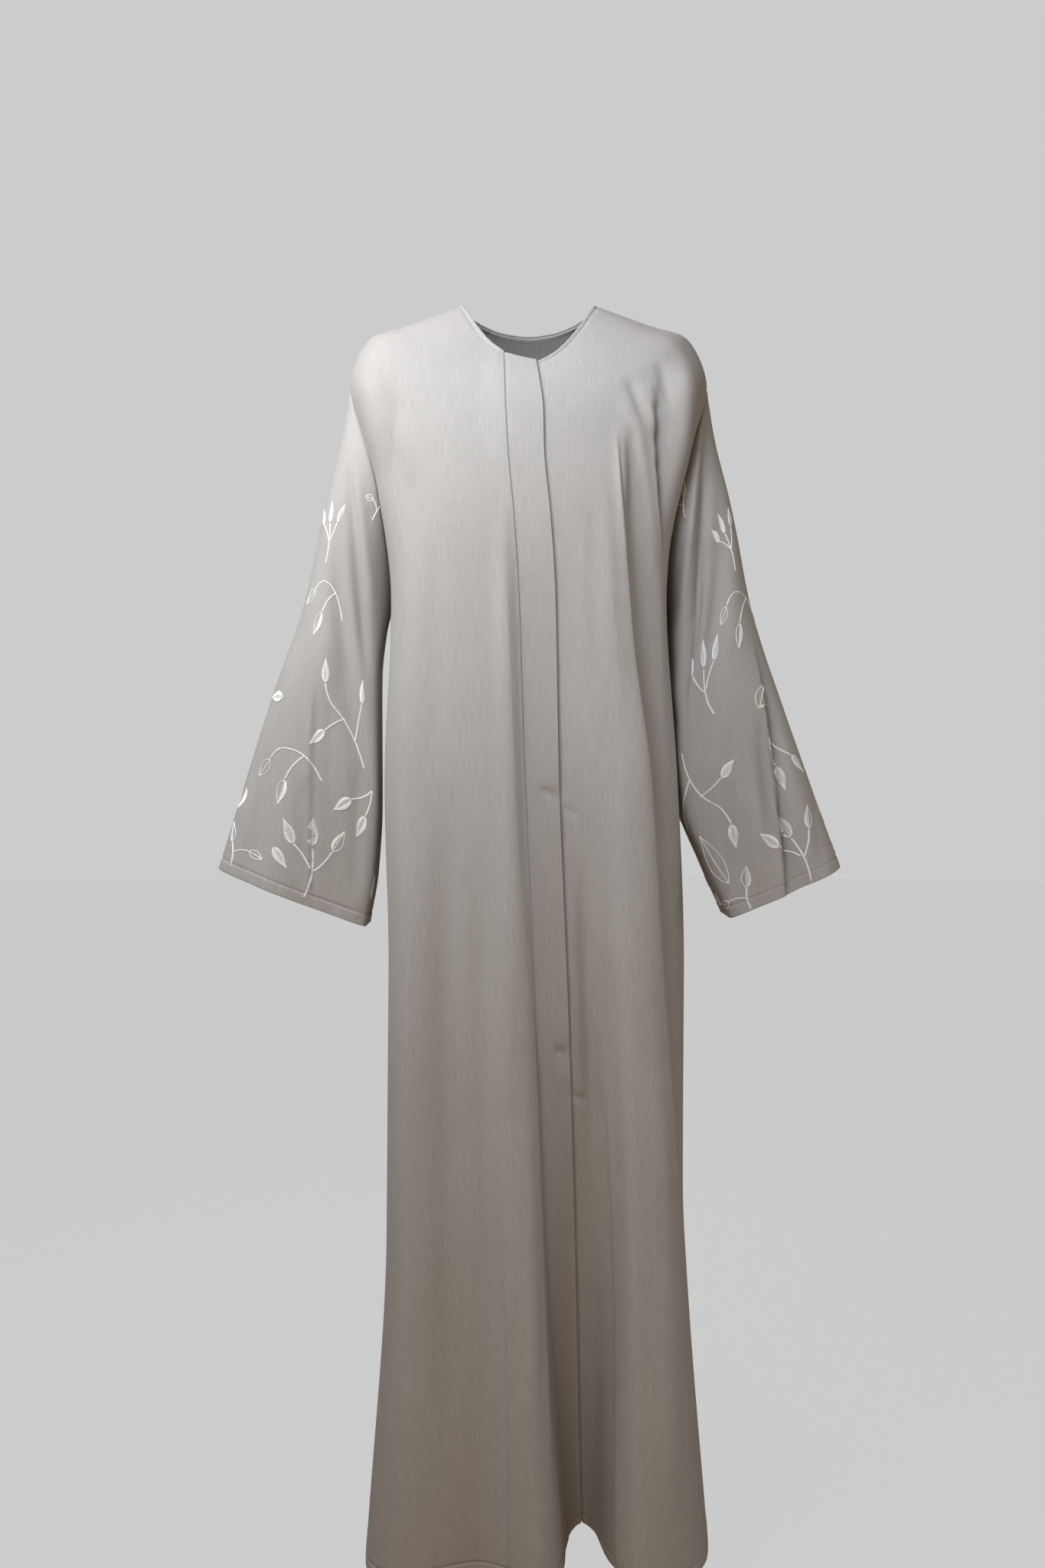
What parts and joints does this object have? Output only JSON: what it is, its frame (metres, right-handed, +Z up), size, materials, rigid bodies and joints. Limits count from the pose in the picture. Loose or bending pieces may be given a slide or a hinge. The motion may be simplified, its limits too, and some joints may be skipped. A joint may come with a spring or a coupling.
{
  "type": "abaya cloak",
  "caption": "Full-length open-front abaya cloak in worn form: plain round neck, hidden placket down the front, deep hanging folds and long straight sleeves open at the cuff.",
  "frame": {"origin": "on the centre line, level with the high shoulder points, where the wearer's shoulders hold it up", "axes": "+Z up, -Y the front, +X the wearer's left"},
  "size_m": [0.731, 0.374, 1.4351],
  "materials": {
    "front_right": "matte, linen-like plain weave",
    "front_left": "matte, linen-like plain weave",
    "placket": "matte, linen-like plain weave",
    "back": "matte, linen-like plain weave",
    "sleeve_right": "matte, linen-like plain weave",
    "sleeve_left": "matte, linen-like plain weave"
  },
  "bodies": {
    "root": {"front_right": "front_right", "front_left": "front_left", "placket": "placket", "back": "back", "sleeve_right": "sleeve_right", "sleeve_left": "sleeve_left"}
  },
  "joints": []
}
